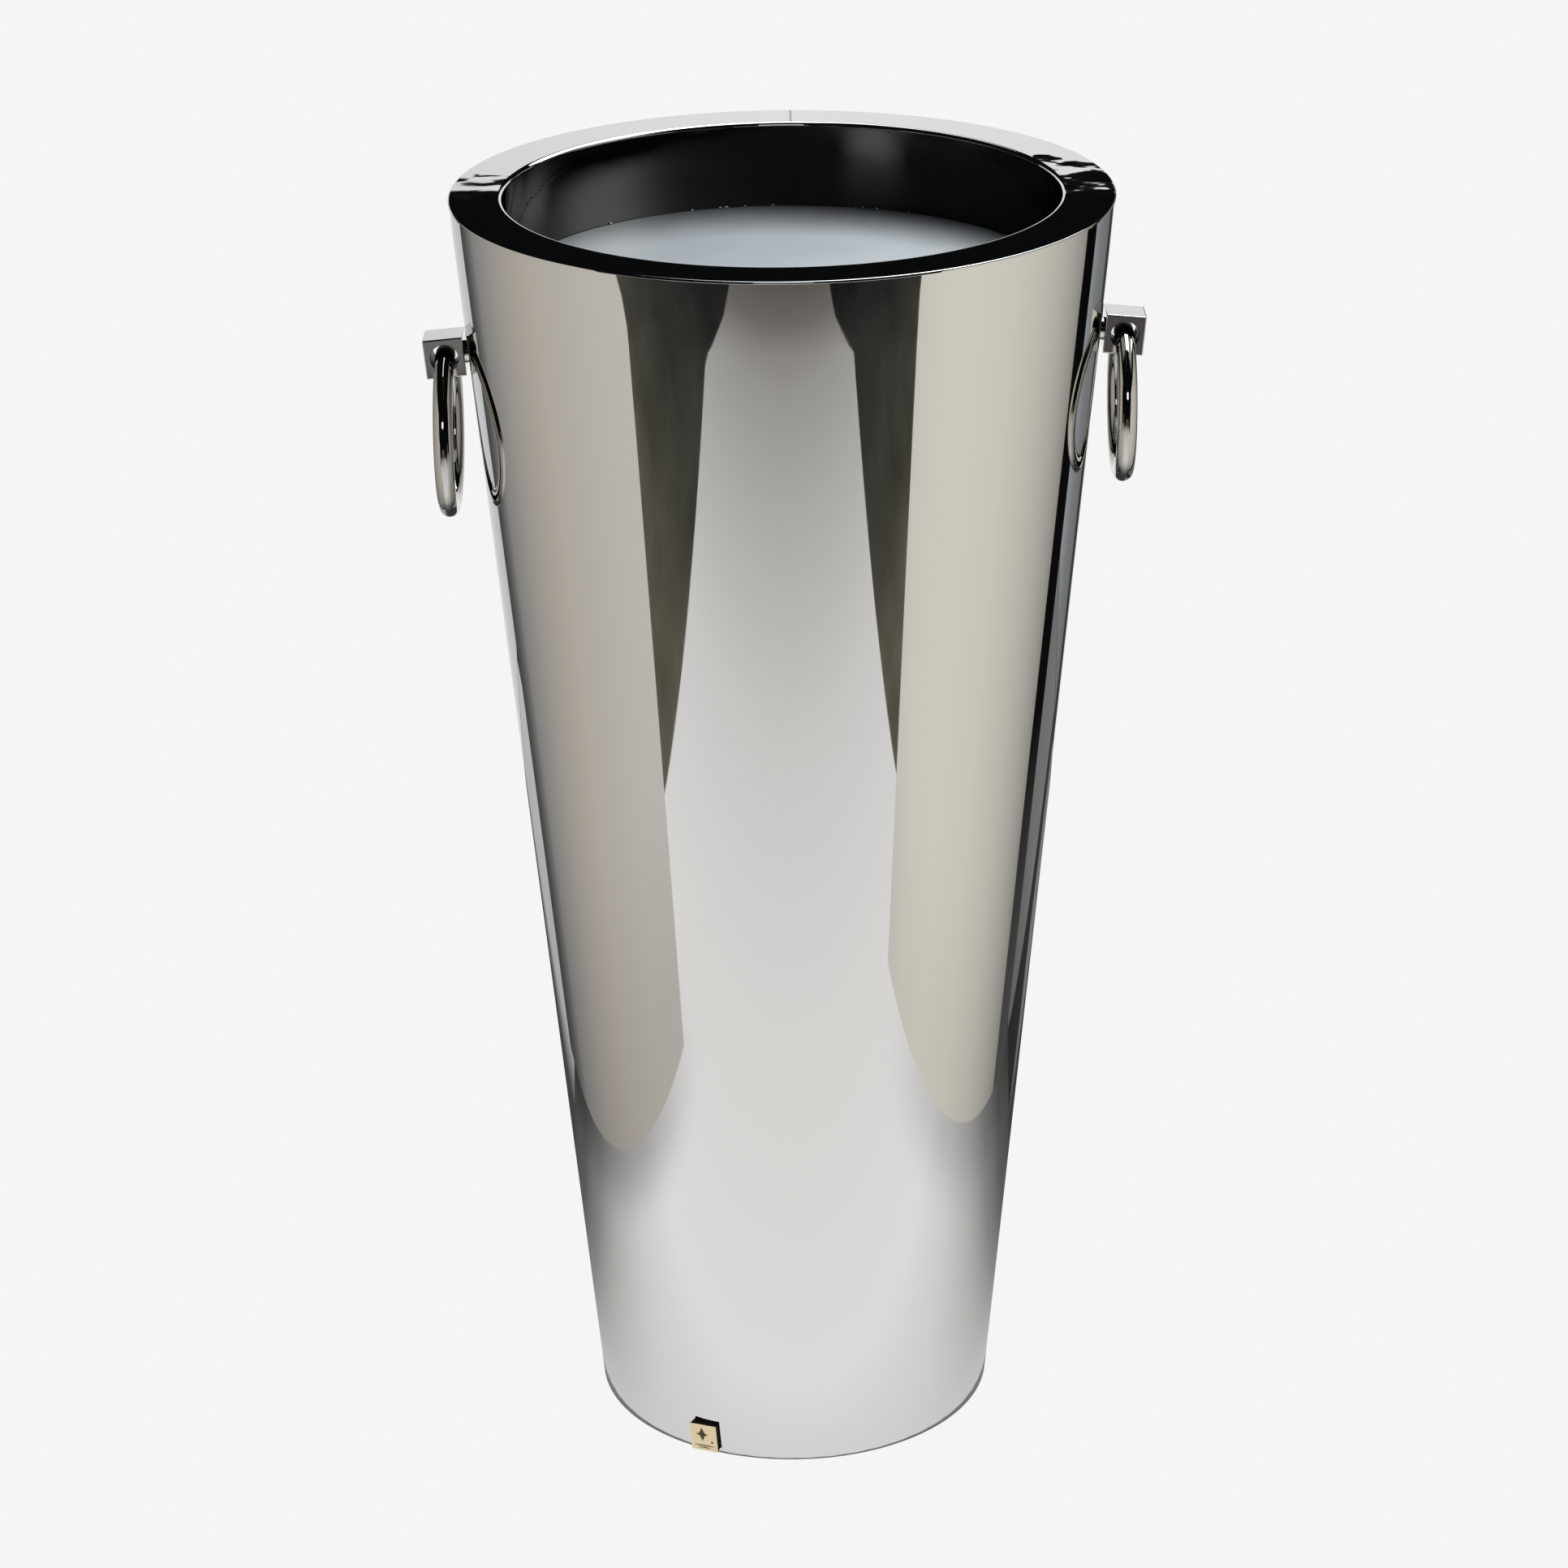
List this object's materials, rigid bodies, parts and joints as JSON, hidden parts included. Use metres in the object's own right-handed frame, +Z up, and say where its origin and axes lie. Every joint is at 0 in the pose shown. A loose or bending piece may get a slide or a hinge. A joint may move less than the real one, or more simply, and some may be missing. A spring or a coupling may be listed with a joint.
{
  "type": "floor-standing champagne bucket",
  "caption": "Tall tapered champagne bucket on a stand foot, in mirror-polished steel, with a wide flat rim, a shallow basin and hanging ring handles.",
  "frame": {"origin": "on the ground, under the middle of the object's box, on the cone's axis", "axes": "+Z up the cone's axis, X through both handles, -Y is the front"},
  "size_m": [0.4385, 0.4, 0.806],
  "materials": {
    "polished_steel": "mirror polished stainless steel",
    "satin_steel": "satin stainless steel",
    "plain_steel": "as rolled steel",
    "zinc_plated_steel": "bright zinc plate",
    "cast_iron": "as cast",
    "rubber": "moulded",
    "black_foam": "foam tape",
    "gilt_plate": "satin gilt, engraved"
  },
  "bodies": {
    "bucket": {"badge_pad": "black_foam", "badge_plate": "gilt_plate", "ballast_bolt": "zinc_plated_steel", "ballast_disc": "cast_iron", "ballast_nut": "zinc_plated_steel", "ballast_washer": "zinc_plated_steel", "base_plate": "plain_steel", "basin_floor": "satin_steel", "foot_nut_1": "zinc_plated_steel", "foot_nut_2": "zinc_plated_steel", "foot_nut_3": "zinc_plated_steel", "foot_nut_4": "zinc_plated_steel", "foot_pad_1": "rubber", "foot_pad_2": "rubber", "foot_pad_3": "rubber", "foot_pad_4": "rubber", "foot_screw_1": "zinc_plated_steel", "foot_screw_2": "zinc_plated_steel", "foot_screw_3": "zinc_plated_steel", "foot_screw_4": "zinc_plated_steel", "handle_eye_left": "polished_steel", "handle_eye_right": "polished_steel", "handle_nut_left": "zinc_plated_steel", "handle_nut_right": "zinc_plated_steel", "handle_spreader_left": "plain_steel", "handle_spreader_right": "plain_steel", "handle_stud_left": "polished_steel", "handle_stud_right": "polished_steel", "outer_shell": "polished_steel", "rim_collar": "polished_steel"},
    "ring_left": {"handle_ring_left": "polished_steel"},
    "ring_right": {"handle_ring_right": "polished_steel"}
  },
  "joints": [
    {"name": "ring_left_swing", "type": "hinge", "parent": "bucket", "child": "ring_left", "pos_m": [-0.20558, 0, 0.7063], "axis": [0, 1, 0], "range_deg": [-9, 176]},
    {"name": "ring_right_swing", "type": "hinge", "parent": "bucket", "child": "ring_right", "pos_m": [0.2065, 0, 0.7164], "axis": [0, -1, 0], "range_deg": [-9, 176]}
  ]
}
